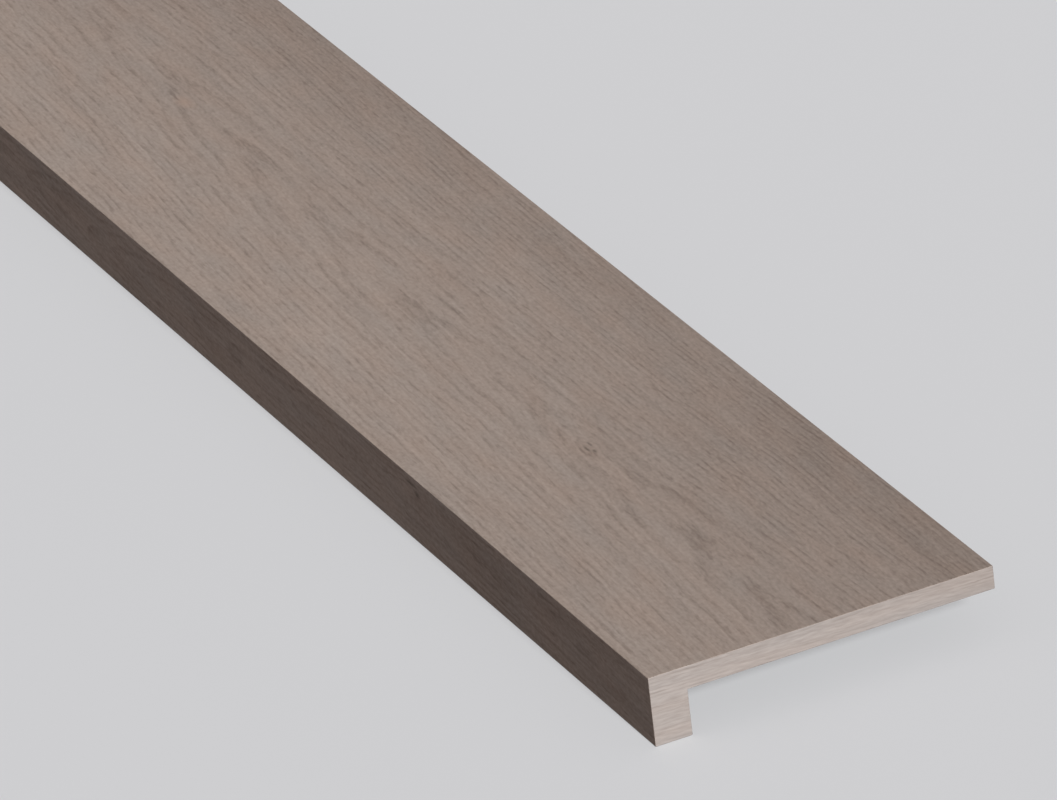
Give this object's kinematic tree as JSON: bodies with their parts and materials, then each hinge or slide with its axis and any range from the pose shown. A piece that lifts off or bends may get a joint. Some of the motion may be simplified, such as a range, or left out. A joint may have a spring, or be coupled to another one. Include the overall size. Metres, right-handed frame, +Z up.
{
  "type": "stair tread",
  "caption": "Straight wooden stair tread with a square drop front that laps over the edge of a step.",
  "frame": {"origin": "centre of the overall box in length and depth, on the plane of the lip's bottom edge", "axes": "+X along the tread's length, +Y from the nosing to the back edge that meets the riser above, +Z up out of the walking surface"},
  "size_m": [1.5, 0.3, 0.06],
  "materials": {
    "oak": "matte lacquered oak, stained grey-brown, lightly brushed so that the open grain shows"
  },
  "bodies": {
    "root": {"stair_tread": "oak"}
  },
  "joints": []
}
